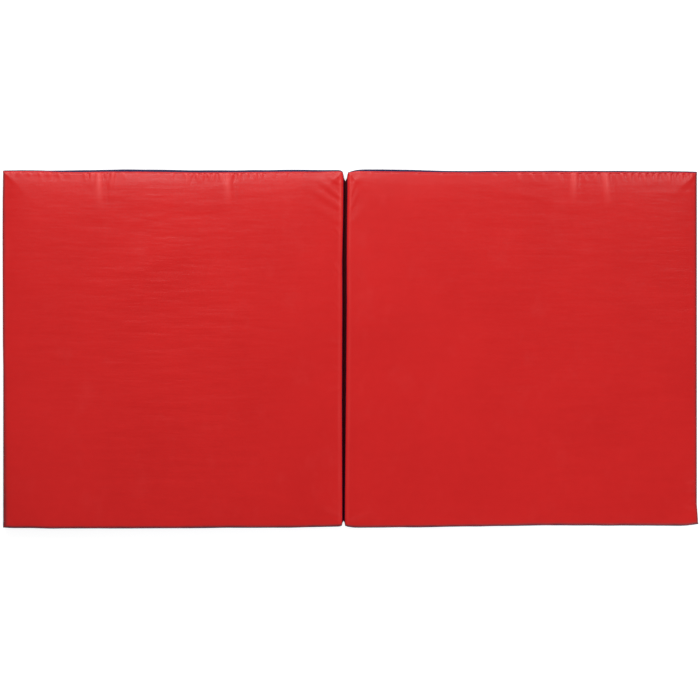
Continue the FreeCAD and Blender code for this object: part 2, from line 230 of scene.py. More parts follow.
# the skin of coated cloth: fine pebble, the cloth showing through, drawn ripples with painted shade along them, and
# dull patches
def coatedClothGroup():
    tree, given, out = newGroup("coatedCloth", {"Pebble Size": 700.0, "Pebble": 0.3, "Ripple": 1.0, "Scuff": 0.5},
            ["Relief", "Tone", "Dull"])
    pebble = addNode(tree, "TexVoronoi", {"Vector": stretched(tree), "Scale": given.outputs["Pebble Size"]},
            feature="SMOOTH_F1").outputs["Distance"]
    threads = times(tree, noise(tree, 1.0, 1, stretched(tree, (60, 1500, 60))),
            noise(tree, 1.0, 1, stretched(tree, (1500, 60, 60))))
    fine = plus(tree, times(tree, pebble, 0.5), threads)
    ripple = noise(tree, 1.0, 3, stretched(tree, (9, 62, 40), (0, 0, 0.03)))
    shallow = noise(tree, 1.0, 2, stretched(tree, (22, 130, 60), (0, 0, -0.05)))
    drawn = plus(tree, ripple, times(tree, shallow, 0.35))
    relief = plus(tree, times(tree, fine, given.outputs["Pebble"]),
            times(tree, drawn, given.outputs["Ripple"]))
    tone = plus(tree, times(tree, noise(tree, 5.0, 4), 0.7),
            times(tree, noise(tree, 45.0, 3), 0.3))
    # painted shade: the tone is darkened and lightened along the drawn ripples, as their shading would fall
    shade = times(tree, math2(tree, "SUBTRACT", drawn, 0.675), given.outputs["Ripple"])
    tone = plus(tree, tone, times(tree, shade, 0.35))
    rubbed = remap(tree, noise(tree, 1.0, 5, stretched(tree, (14, 9, 14), (0, 0, 0.5)), 0.65), 0.56, 0.74, 0, 1)
    dull = times(tree, rubbed, given.outputs["Scuff"])
    feed(tree, out, {"Relief": relief, "Tone": tone, "Dull": dull})
    return tree


# narrow woven tape: ribs along it and picks across it
def wovenGroup():
    tree, given, out = newGroup("wovenTape", {"Ribs": 1400.0, "Picks": 1900.0}, ["Relief", "Tone"])
    place = addNode(tree, "SeparateXYZ", {"Vector": addNode(tree, "TexCoord").outputs["Object"]})
    ribs = math2(tree, "SINE", times(tree, place.outputs["Z"], given.outputs["Ribs"]))
    slant = plus(tree, place.outputs["Y"], times(tree, place.outputs["Z"], 0.6))
    picks = math2(tree, "SINE", times(tree, slant, given.outputs["Picks"]))
    woven = times(tree, ribs, picks)
    tone = plus(tree, remap(tree, woven, -1, 1, 0, 0.7), times(tree, noise(tree, 260.0), 0.3))
    feed(tree, out, {"Relief": woven, "Tone": tone})
    return tree


# cut foam: open cells, and the shallow waves that a foam saw leaves
def cellsGroup():
    tree, given, out = newGroup("foamCells", {"Cells": 900.0}, ["Relief", "Tone"])
    cells = addNode(tree, "TexVoronoi", {"Vector": stretched(tree), "Scale": given.outputs["Cells"]}).outputs[0]
    saw = noise(tree, 1.0, 2, stretched(tree, (4, 70, 70)))
    tone = plus(tree, times(tree, cells, 0.5), times(tree, saw, 0.5))
    feed(tree, out, {"Relief": plus(tree, cells, times(tree, saw, 0.8)), "Tone": tone})
    return tree


groups = {"cloth": coatedClothGroup(), "tape": wovenGroup(), "foam": cellsGroup()}


def newMaterial(name):
    material = bpy.data.materials.new(name)
    material.use_nodes = True
    tree = material.node_tree
    return material, tree, tree.nodes["Principled BSDF"]


def placeGroup(tree, key, **inputs):
    node = tree.nodes.new("ShaderNodeGroup")
    node.node_tree = groups[key]
    for label, amount in inputs.items():
        node.inputs[label.replace("_", " ")].default_value = amount
    return node


# each end is a colour, or the socket of one
def blendColours(tree, factor, first, second):
    ends = {key: (*end, 1) if isinstance(end, tuple) else end for key, end in (("A", first), ("B", second))}
    return addNode(tree, "Mix", {"Factor": factor, **ends}, data_type="RGBA").outputs["Result"]


def bumps(tree, height, distance, strength):
    return addNode(tree, "Bump", {"Height": height, "Distance": distance, "Strength": strength}).outputs["Normal"]


def attribute(tree, name):
    return addNode(tree, "Attribute", attribute_name=name).outputs["Fac"]


# how much duller the painted edge shade is made than a scuff of strength 1
edgeShadeDullness = 4.0

# what a vinyl has unless its own line says otherwise
plainVinyl = dict(pebbleSize=650.0, pebble=0.3, relief=0.0010)
vinyls = {
    # its pale fold colour is a painted highlight for the raised puckers, folds and lip, and its dark edge colour is
    # painted shade for the lower edges
    "redVinyl": dict(light=(0.625, 0.0075, 0.0070), deep=(0.585, 0.0055, 0.0052), scuffed=(0.63, 0.016, 0.015),
            foldHighlight=(0.74, 0.060, 0.056), shadedEdge=(0.150, 0.010, 0.012), drawnRipple=1.0,
            gloss=0.33, dullest=0.44, pebble=0.25, ripple=0.45, scuff=0.5, shine=0.36),
    "navyVinyl": dict(light=(0.0110, 0.0115, 0.068), deep=(0.0080, 0.0085, 0.052), scuffed=(0.024, 0.025, 0.090),
            gloss=0.48, dullest=0.62, ripple=0.3, scuff=0.6, shine=0.14),
    # painted shade: the hinge web is the same red vinyl drawn darker, standing for the shade deep in the groove
    "hingeVinyl": dict(light=(0.165, 0.0030, 0.0030), deep=(0.130, 0.0022, 0.0022), scuffed=(0.19, 0.008, 0.008),
            gloss=0.45, dullest=0.60, ripple=0.2, scuff=0.5, shine=0.16),
    "undersideVinyl": dict(light=(0.0140, 0.0150, 0.050), deep=(0.0095, 0.0100, 0.036), scuffed=(0.050, 0.050, 0.075),
            gloss=0.55, dullest=0.75, pebbleSize=260.0, pebble=1.6, ripple=0.15, scuff=0.9,
            relief=0.0012, shine=0.30),
}


def vinylMaterial(name, look):
    material, tree, shader = newMaterial(name)
    skin = placeGroup(tree, "cloth", Pebble_Size=look["pebbleSize"], Pebble=look["pebble"],
            Ripple=look["ripple"], Scuff=look["scuff"])
    tone = remap(tree, skin.outputs["Tone"], 0.35, 0.65, 0, 1)
    colour = blendColours(tree, tone, look["deep"], look["light"])
    dull = skin.outputs["Dull"]
    colour = blendColours(tree, times(tree, dull, 0.5), colour, look["scuffed"])
    if "foldHighlight" in look:  # more ripples where the cloth is drawn, with their painted shade; a painted highlight on the raised folds, and painted shade along the lower edges
        ripple = times(tree, attribute(tree, "drawn"), look["drawnRipple"])
        feed(tree, skin, {"Ripple": plus(tree, ripple, look["ripple"])})
        colour = blendColours(tree, attribute(tree, "crease"), colour, look["foldHighlight"])
        shadedEdge = attribute(tree, "edgeShade")
        colour = blendColours(tree, shadedEdge, colour, look["shadedEdge"])
        dull = plus(tree, dull, times(tree, shadedEdge, edgeShadeDullness))
    dullest = look["gloss"] + edgeShadeDullness * (look["dullest"] - look["gloss"])
    roughness = remap(tree, dull, 0, edgeShadeDullness, look["gloss"], dullest)
    feed(tree, shader, {"Base Color": colour, "Roughness": roughness, "Specular IOR Level": look["shine"],
            "Normal": bumps(tree, skin.outputs["Relief"], look["relief"], 0.6)})
    return material


def patternMaterial(name, key, deep, light, roughness, distance, inputs):
    material, tree, shader = newMaterial(name)
    pattern = placeGroup(tree, key, **inputs)
    feed(tree, shader, {"Base Color": blendColours(tree, pattern.outputs["Tone"], deep, light),
            "Roughness": roughness, "Normal": bumps(tree, pattern.outputs["Relief"], distance, 0.7)})
    return material


# dark paint over die-cast metal, rubbed through in small places
def metalMaterial():
    material, tree, shader = newMaterial("zipMetal")
    rubbed = remap(tree, noise(tree, 620.0, 4), 0.64, 0.74, 0, 1)
    feed(tree, shader, {"Base Color": blendColours(tree, rubbed, (0.022, 0.023, 0.028), (0.36, 0.35, 0.34)),
            "Metallic": remap(tree, rubbed, 0, 1, 0.15, 0.9),
            "Roughness": remap(tree, noise(tree, 900.0, 2), 0.3, 0.7, 0.28, 0.45),
            "Normal": bumps(tree, noise(tree, 1500.0, 2), 0.00004, 0.5)})
    return material


def coilMaterial():
    material, tree, shader = newMaterial("zipCoil")
    shade = remap(tree, noise(tree, 700.0, 3), 0.35, 0.65, 0, 1)
    feed(tree, shader, {"Base Color": blendColours(tree, shade, (0.012, 0.012, 0.024), (0.022, 0.022, 0.040)),
            "Roughness": remap(tree, shade, 0, 1, 0.32, 0.48)})
    return material


materials = {name: vinylMaterial(name, {**plainVinyl, **look}) for name, look in vinyls.items()}
# group, deep and light colour, roughness, depth of the relief, the group's inputs
patterns = {
    "softFoam": ("foam", (0.66, 0.65, 0.60), (0.84, 0.83, 0.79), 0.95, 0.0006, {}),
    "firmFoam": ("foam", (0.17, 0.18, 0.20), (0.30, 0.31, 0.33), 0.95, 0.0006, {"Cells": 1300.0}),
    "zipTape": ("tape", (0.008, 0.008, 0.022), (0.022, 0.022, 0.050), 0.85, 0.00012, {}),
    "thread": ("tape", (0.012, 0.012, 0.040), (0.040, 0.040, 0.095), 0.6, 0.00008,
               {"Ribs": 4000.0, "Picks": 5200.0}),
}
materials.update((name, patternMaterial(name, *look)) for name, look in patterns.items())
materials["zipMetal"] = metalMaterial()
materials["zipCoil"] = coilMaterial()
# a slot has its material's name, but for two that are cut from the same stuff as another
slots = {name: "".join("_" + c.lower() if c.isupper() else c for c in name) for name in materials}
slots.update(hingeVinyl="red_vinyl", thread="zip_tape")
print("materials made")


# gives a piece its material and its body, and hides the parts that it stands in for
def finishPiece(piece, material, body, *replaced):
    piece.data.materials.clear()
    piece.data.materials.append(materials[material])
    if body:
        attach(piece, body)
    if replaced:
        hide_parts(*replaced)


# camera, floor and lights

viewpoint = dict(lens=200.0, sensor=36, width=1.9745, centre=(0.0, -0.0028), plane=0.05, farthest=60)


def makeCamera():
    distance = viewpoint["width"] * viewpoint["lens"] / viewpoint["sensor"]
    bpy.ops.object.camera_add(location=(*viewpoint["centre"], viewpoint["plane"] + distance), rotation=(0, 0, 0))
    camera = bpy.context.object
    camera.name = "viewFromAbove"
    camera.data.lens = viewpoint["lens"]
    camera.data.sensor_width = viewpoint["sensor"]
    camera.data.clip_end = viewpoint["farthest"]
    bpy.context.scene.camera = camera


floorLook = dict(size=14.0, height=-0.0006, colour=(0.55, 0.55, 0.55), glow=0.76)


def makeFloor():
    onlySelect()
    bpy.ops.mesh.primitive_plane_add(size=floorLook["size"], location=(0, 0, floorLook["height"]))
    floor = newPiece("floor")
    material, tree, shader = newMaterial("paleFloor")
    feed(tree, shader, {"Base Color": (*floorLook["colour"], 1), "Roughness": 0.9, "Specular IOR Level": 0.1})
    path = addNode(tree, "LightPath")
    seen = math2(tree, "MAXIMUM", path.outputs["Is Camera Ray"], path.outputs["Is Glossy Ray"])
    seen = math2(tree, "MAXIMUM", seen, path.outputs["Is Transmission Ray"])
    glow = addNode(tree, "Emission", {"Color": (1, 1, 1, 1),
            "Strength": times(tree, seen, floorLook["glow"])})
    both = addNode(tree, "AddShader", {0: shader.outputs[0], 1: glow.outputs[0]})
    feed(tree, tree.nodes["Material Output"], {"Surface": both.outputs[0]})
    floor.data.materials.append(material)


lamps = {
    "keyPanel": dict(place=(-0.60, 1.40, 2.3), aim=(-0.45, 0.3, 0), size=(1.2, 0.6), power=19.0),
    "cornerPanel": dict(place=(1.15, 1.30, 2.3), aim=(0.8, 0.3, 0), size=(0.7, 0.5), power=10.0),
    "backPanel": dict(place=(-0.8, 3.0, 1.7), aim=(-0.2, 0.0, 0), size=(2.4, 1.4), power=54.0),
    "frontPanel": dict(place=(1.9, -2.8, 1.7), aim=(0.3, 0, 0), size=(3.0, 1.8), power=54.0),
}
skyLevel = 0.36


def makeLamps():
    from mathutils import Vector
    for name, lamp in lamps.items():
        aim = Vector(lamp["aim"]) - Vector(lamp["place"])
        turn = aim.to_track_quat("-Z", "Y").to_euler()
        bpy.ops.object.light_add(type="AREA", location=lamp["place"], rotation=turn)
        light = bpy.context.object
        light.name = name
        light.data.shape = "RECTANGLE"
        light.data.size, light.data.size_y = lamp["size"]
        light.data.energy = lamp["power"]
    world = bpy.data.worlds.new("studio")
    bpy.context.scene.world = world
    world.use_nodes = True
    tree = world.node_tree
    path = addNode(tree, "LightPath")
    seen = math2(tree, "MAXIMUM", path.outputs["Is Camera Ray"], path.outputs["Is Transmission Ray"])
    feed(tree, tree.nodes["Background"], {"Color": (1, 1, 1, 1), "Strength": remap(tree, seen, 0, 1, skyLevel, 1.0)})


onlySelect()
makeCamera()
makeFloor()
makeLamps()
bpy.context.scene.view_settings.view_transform = "Standard"
print("camera, floor and lights made")


# covers

cover = dict(spacing=0.0058, radius=0.006, arcSteps=4, wall=0.0008, bandSteps=10, tuck=0.0022,
             pressure=4.0, frames=20, capTop=0.0008, capSide=0.0005, capHinge=0.0004, lap=0.0006,
             crown=0.34, crownReach=0.105, fineDepth=0.085,
             near=0.003,  # what lies at a wall
             drop=0.012)  # cloth from the edge down to the seam

corners = dict(
    reach=0.070,      # how far into a panel the pulled-in hinge corners are felt
    radius=0.045,     # of the arc that the wall follows there
    back=0.0028, front=0.0018,      # how far the wall is pulled in at the back and front
    straight=0.6,     # how far the seam pulls the top sheet's wall straight, against the arc
    nip={"left": 0.0042, "right": 0.0060}, frontNip=0.0042,     # the corner's own rounding
    nipReach={"left": 0.013, "right": 0.034},
    nipDepth=0.03, driftReach=0.12)  # how far in from the front and back their wander is felt

# This table and those below give places and sizes in millimetres, everything else is in metres.
# how far each wall of the groove leans over, by place across the mat
groove = dict(
    left=((-430, -2.1), (-144, -2.8), (138, -1.7), (251, -2.1), (364, 0.2), (450, 1.2)),
    right=((-430, -7.4), (-144, -4.4), (138, -2.0), (251, -2.4), (364, -1.5), (450, -0.4)),
    reach=0.12)

# how the right panel's front outer corner sticks out
flare = dict(size=0.0042, place=(0.979, -0.497), width=0.045, reach=0.079)

# the fold that follows the groove
lip = dict(height=0.0011, place=0.0085, width=0.0034, fineDepth=0.030)

# painted highlight: how much paler a raised fold, pucker or lip is drawn, for each metre of its height
crease = dict(pucker=520.0, fold=150.0, lip=420.0, most=0.85)

# painted shade on the lower edges, where they round away from the light: how dark, and how far in
edgeShade = dict(front=(0.90, 0.0068), left=(0.75, 0.0090), right=(0.72, 0.0070))

# how far the front wall stands back from straight, by place along the mat
frontDrift = (
    (-980, -3.3), (-952, -4.7), (-900, -4.9), (-840, -6.3), (-675, -5.8), (-480, -5.3), (-340, -3.6), (-168, -3.7),
    (-83, -1.4), (-30, -0.2), (0, -3.1), (35, -3.4), (200, -2.4), (340, -0.2), (424, 1.1), (509, 2.7), (594, 3.4),
    (678, 2.5), (763, 2.4), (847, 2.7), (932, 1.7), (949, 2.5), (980, 6.7))
# and how far the back wall bows out
backDrift = (
    (-963, 3.4), (-929, 3.8), (-873, 3.3), (-816, 1), (-760, 0.6), (-675, 1.8), (-591, 1.7), (-506, 0.7),
    (-422, -0.3), (-337, 0.2), (-252, 0.9), (-168, 1.9), (-83, 1.6), (-44, 2.4), (18, 3.4), (86, 2.8), (171, 1.8),
    (255, 0.4), (340, -0.1), (424, 0.6), (509, 1.4), (678, 1.1), (763, 0.9), (904, 0.4), (949, 0), (969, -0.8))
# how far the left end of the top sheet leans out over its seam, by place across the mat
endLean = (
    (-460, -2.6), (-314, -1.2), (-202, -0.3), (-89, 0.9), (24, 2.4), (250, 3), (334, 3.2), (419, 2.9), (489, 1.7))
# how far the band swells past the seam at the back and the front
backSwell = (
    (-980, 0.4), (-860, 1.2), (-760, 4), (-620, 5), (-450, 4.4), (-250, 4), (-90, 3.6), (-30, 2.6), (0, 1), (40, 4),
    (180, 4.2), (280, 2.6), (500, 1.8), (980, 1.4))
frontSwell = 0.0008
bandWave = dict(height=0.0004, length=0.045, tall=0.03)
# how far the top sheet's edge is drawn in from the band, less and less towards the groove
setBack = dict(back=0.0022, front=0.0004, end=0.0004, fade=0.03, reach=0.10)

# puckers that hang from the back seam: place along the mat, length, and height and lean as shares
backPuckers = (
    (-955, 20, 0.5, 0.1), (-930, 16, 0.6, -0.1), (-905, 22, 0.5, 0.2), (-874, 30, 0.8, 0.1), (-846, 26, 0.9, -0.1),
    (-822, 30, 0.8, 0.2), (-790, 16, 0.5, 0), (-747, 34, 0.9, 0.1), (-728, 46, 1, -0.1), (-711, 120, 1.5, 0.05),
    (-690, 40, 1, 0.1), (-668, 50, 1.1, -0.15), (-640, 24, 0.6, 0.2), (-600, 20, 0.5, 0), (-540, 22, 0.5, 0.1),
    (-500, 26, 0.6, -0.1), (-462, 46, 1.1, 0.1), (-447, 30, 1, -0.2), (-432, 30, 1.1, 0.15), (-416, 34, 1, -0.1),
    (-400, 26, 1.1, 0.2), (-384, 36, 1, -0.1), (-365, 40, 1.2, 0.1), (-348, 110, 1.4, 0.06), (-330, 30, 1.1, -0.2),
    (-312, 26, 1, 0.1), (-290, 22, 0.9, 0), (-268, 26, 1, 0.15), (-249, 20, 0.8, -0.1), (-215, 18, 0.5, 0.1),
    (-180, 16, 0.5, 0), (-140, 18, 0.4, 0.1), (60, 18, 0.4, 0.1), (120, 16, 0.4, 0), (190, 20, 0.5, 0.1),
    (260, 18, 0.5, -0.1), (330, 20, 0.5, 0.1), (410, 22, 0.6, 0), (480, 30, 0.9, -0.1), (512, 26, 0.8, 0.1),
    (548, 30, 0.9, 0), (590, 34, 0.9, 0.1), (634, 100, 1.4, -0.05), (660, 30, 0.9, 0.1), (694, 36, 1, 0),
    (722, 110, 1.4, 0.05), (745, 40, 1, -0.1), (768, 30, 1, 0.1), (790, 36, 1.1, 0), (811, 30, 1, -0.1),
    (830, 40, 1.1, 0.1), (849, 26, 1, 0), (866, 36, 1.1, -0.1), (884, 28, 1, 0.1), (901, 40, 1.2, 0),
    (918, 26, 1, -0.1), (934, 34, 1.1, 0.1), (950, 24, 1, 0), (964, 30, 1, -0.1))
puckerShape = dict(height=0.0017, width=0.0038, spread=0.0225, widest=0.03)

# folds drawn across a corner or lip: panel side, start x, y, end x, y, height, width
folds = (
    ("left", -26, 424, -98, 492, 1.6, 10), ("left", -26, 396, -118, 470, 1.2, 13),
    ("left", -26, 462, -64, 492, 1, 7), ("left", -26, 355, -110, 425, 0.7, 15),
    ("left", -26, 318, -40, 350, 1.1, 5), ("left", -26, 210, -42, 250, 1, 6), ("left", -26, 110, -40, 140, 0.6, 6),
    ("left", -26, 15, -60, 28, 0.6, 9), ("left", -26, -60, -55, -50, 0.5, 8),
    ("left", -26, -110, -70, -120, 0.5, 9), ("left", -26, -470, -90, -440, 0.8, 10),
    ("right", 2, 432, 12, 470, 1.8, 4.5), ("right", 3, 400, 24, 455, 1, 8), ("right", 4, 360, 60, 430, 0.7, 14),
    ("right", 5, 462, 40, 492, 0.9, 8), ("right", 5, -480, 70, -455, 0.8, 10),
    ("right", 976, -372, 945, -380, 1.3, 5), ("right", 976, -400, 940, -402, 1.1, 5),
    ("right", 976, -426, 950, -432, 1, 5), ("right", 976, -455, 930, -440, 0.9, 7),
    ("right", 972, 486, 900, 440, 0.6, 12))

foldDepth = 0.62  # of each fold's height, with the hollow beside it

# where the drawn ripples are strong: centre x, y, half width, half depth, strength
ripplePatches = ((-0.53, 0.02, 0.20, 0.50, 1.0), (-0.86, 0.10, 0.14, 0.50, 0.25), (-0.30, 0.10, 0.12, 0.50, 0.3),
        (0.60, 0.05, 0.26, 0.50, 0.5), (0.92, 0.24, 0.10, 0.22, 0.8), (0.90, -0.20, 0.12, 0.30, 0.3))
rippleShape = dict(height=0.00030, length=0.100, pitch=0.024, fine=0.00010, fineLength=0.060, finePitch=0.0125,
        slow=0.0006)


# a flat sheet of square cells between two corners
def gridPiece(name, low, high, spacing, height):
    bpy.ops.object.select_all(action="DESELECT")
    width, depth = high[0] - low[0], high[1] - low[1]
    centre = ((low[0] + high[0]) / 2, (low[1] + high[1]) / 2, height)
    bpy.ops.mesh.primitive_grid_add(x_subdivisions=round(width / spacing), y_subdivisions=round(depth / spacing),
            size=1, location=centre)
    piece = newPiece(name)
    resizeAll(piece, (width, depth, 1), centre)
    applyPlace()
    return piece


# extrudes the open edge row by row: how far out from the wall, and how high
def growRim(piece, low, high, rows):
    centre = [(a + b) / 2 for a, b in zip(low, high)]
    half = [(b - a) / 2 for a, b in zip(low, high)]
    openEdit(piece, "EDGE", "DESELECT")
    bpy.ops.mesh.select_non_manifold(extend=False)
    points = getPoints(piece)
    out, height = points[:, 0].max() - high[0], points[:, 2].max()
    for nextOut, nextHeight in rows:
        bpy.ops.mesh.extrude_edges_move(TRANSFORM_OT_translate={"value": (0, 0, nextHeight - height)})
        grow = [(h + nextOut) / (h + out) for h in half[:2]]
        bpy.ops.transform.resize(value=(*grow, 1), center_override=(centre[0], centre[1], nextHeight))
        out, height = nextOut, nextHeight
    closeEdit()


def readTable(table, place):
    places, amounts = np.transpose(table) / 1000
    return np.interp(place, places, amounts)


# where a panel's wall at the groove stands
def hingeWall(side):
    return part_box(side + "_top_sheet")[1 if sides[side] < 0 else 0][0]


# how far each point is outside a box seen from above
def pastBox(points, low, high):
    return np.maximum(np.maximum(low[0] - points[:, 0], points[:, 0] - high[0]),
            np.maximum(low[1] - points[:, 1], points[:, 1] - high[1]))


# draws the two hinge corners in, and lets the walls wander; the arc is pulled straight where taut is 1
def pullCorners(points, side, taut=1.0):
    sign, wall = sides[side], hingeWall(side)
    x, y = points[:, 0].copy(), points[:, 1].copy()
    along = sign * (x - wall)  # from the hinge wall outwards
    fade = 1 - ease(np.clip(along, 0, None) / corners["reach"])
    for pull, end in ((corners["back"], 1), (corners["front"], -1)):
        depth = math.sqrt(2 * corners["radius"] * pull - pull ** 2)
        rise = np.clip(end * y - (halfWidth - depth), 0, depth)
        inward = corners["radius"] - np.sqrt(corners["radius"] ** 2 - rise ** 2)
        inward += taut * corners["straight"] * (pull * rise / depth - inward)
        points[:, 0] += sign * inward * fade
        near = np.clip(1 - (along + 0.001) / corners["nipReach"][side], 0, 1) ** 2
        edge = ease(1 - (halfWidth - end * y) / corners["nipDepth"])
        points[:, 1] -= end * (corners["nip"][side] if end > 0 else corners["frontNip"]) * near * edge
    points[:, 0] += readTable(groove[side], y) * (1 - ease(np.clip(along, 0, None) / groove["reach"]))
    for drift, end in ((frontDrift, -1), (backDrift, 1)):
        points[:, 1] += readTable(drift, x) * ease((end * y - halfWidth) / corners["driftReach"] + 1)
    return points


# a line of the top sheet's own fold beside the groove
def lipHeight(x, y, along):
    strength = 0.35 + 0.65 * ease((y - 0.30) / 0.12) + 0.25 * softNoise(y / 0.06, along * 0, 23)
    return lip["height"] * strength * np.exp(-((along - lip["place"]) / lip["width"]) ** 2)


def rippleStrength(x, y):
    return sum(s * np.exp(-(((x - cx) / w) ** 2 + ((y - cy) / d) ** 4)) for cx, cy, w, d, s in ripplePatches)


def rippleHeight(x, y):
    r = rippleShape
    bend = 0.020 * softNoise(x / 0.22, y / 0.22, 3)
    main = softNoise(x / r["length"], (y + bend) / r["pitch"], 11)
    main += 0.5 * softNoise(x / (0.6 * r["length"]), (y + bend) / (0.6 * r["pitch"]), 12)
    fine = softNoise(x / r["fineLength"], (y + bend) / r["finePitch"], 13)
    slow = r["slow"] * softNoise(x / 0.28, y / 0.20, 14)
    return (r["height"] * main + r["fine"] * fine) * (0.25 + rippleStrength(x, y)) + slow


def puckerHeight(x, y):
    down = halfWidth - y
    height = np.zeros(len(x))
    for place, length, size, lean in backPuckers:
        place, length = place / 1000, length / 1000
        near = np.abs(x - place) < puckerShape["widest"]
        fade = np.clip(1 - down[near] / length, 0, 1) ** 1.3 * ease(down[near] / 0.003)
        width = puckerShape["width"] * (0.7 + length / 0.06) + puckerShape["spread"] * down[near]
        across = (x[near] - place - lean * down[near]) / width
        height[near] += size * puckerShape["height"] * fade * (np.exp(-across ** 2)
                - 0.45 * np.exp(-(across - 1.8) ** 2))
    return height


def foldHeight(x, y, side):
    height = np.zeros(len(x))
    for name, *sizes in folds:
        if name != side:
            continue
        x0, y0, x1, y1, size, width = (v / 1000 for v in sizes)
        length = math.hypot(x1 - x0, y1 - y0)
        dx, dy = (x1 - x0) / length, (y1 - y0) / length
        along = ((x - x0) * dx + (y - y0) * dy) / length
        across = (y - y0) * dx - (x - x0) * dy
        across = across + 0.12 * length * (along - 0.5) ** 2
        width = width * (0.5 + 0.8 * np.clip(along, 0, 1))
        fade = ease(along / 0.12 + 0.5) * ease((1.05 - along) / 0.6)
        across /= width
        height += foldDepth * size * fade * (np.exp(-across ** 2) - 0.5 * np.exp(-(across - 1.9) ** 2))
    return height


# blows the cover up like a cushion, held where pinned is 1
def inflate(piece, pinned):
    group = piece.vertex_groups.new(name="pinned")
    for level in np.unique(pinned):
        group.add([int(i) for i in np.flatnonzero(pinned == level)], float(level), "REPLACE")
    modifier = piece.modifiers.new("Cloth", "CLOTH")
    cloth = modifier.settings
    cloth.quality = 4
    cloth.mass = 0.4
    cloth.use_pressure = True
    cloth.uniform_pressure_force = cover["pressure"]
    cloth.effector_weights.gravity = 0
    cloth.vertex_group_mass = "pinned"
    cloth.tension_stiffness = cloth.compression_stiffness = 25
    cloth.bending_stiffness = 1.0
    modifier.point_cache.frame_start = 1
    modifier.point_cache.frame_end = cover["frames"]
    for number in range(1, cover["frames"] + 1):
        bpy.context.scene.frame_set(number)
    onlySelect(piece)
    bpy.ops.object.modifier_apply(modifier="Cloth")
    bpy.context.scene.frame_set(1)
    piece.vertex_groups.clear()


def coverRows(top, seam, base):
    r, tuck = cover["radius"], cover["tuck"]
    turns = [math.pi / 2 * (k + 1) / cover["arcSteps"] for k in range(cover["arcSteps"])]
    upper = [(r * math.sin(a) - r, top - r + r * math.cos(a)) for a in turns]
    # towards a seam the cloth turns in, row by row
    upper += [(-0.0002, seam + 0.0010), (-0.0009, seam + 0.00035), (-tuck, seam + 0.00005)]
    start, end = seam - 0.0013, base + 0.0014
    band = [(-tuck, seam - 0.00005), (-0.0009, seam - 0.0004), (-0.0001, start)]
    band += [(0, start + (end - start) * (k / cover["bandSteps"]) ** 1.8) for k in range(1, cover["bandSteps"])]
    band += [(-0.0001, end), (-0.0009, base + 0.0005), (-tuck, base + 0.00006)]
    return upper, band


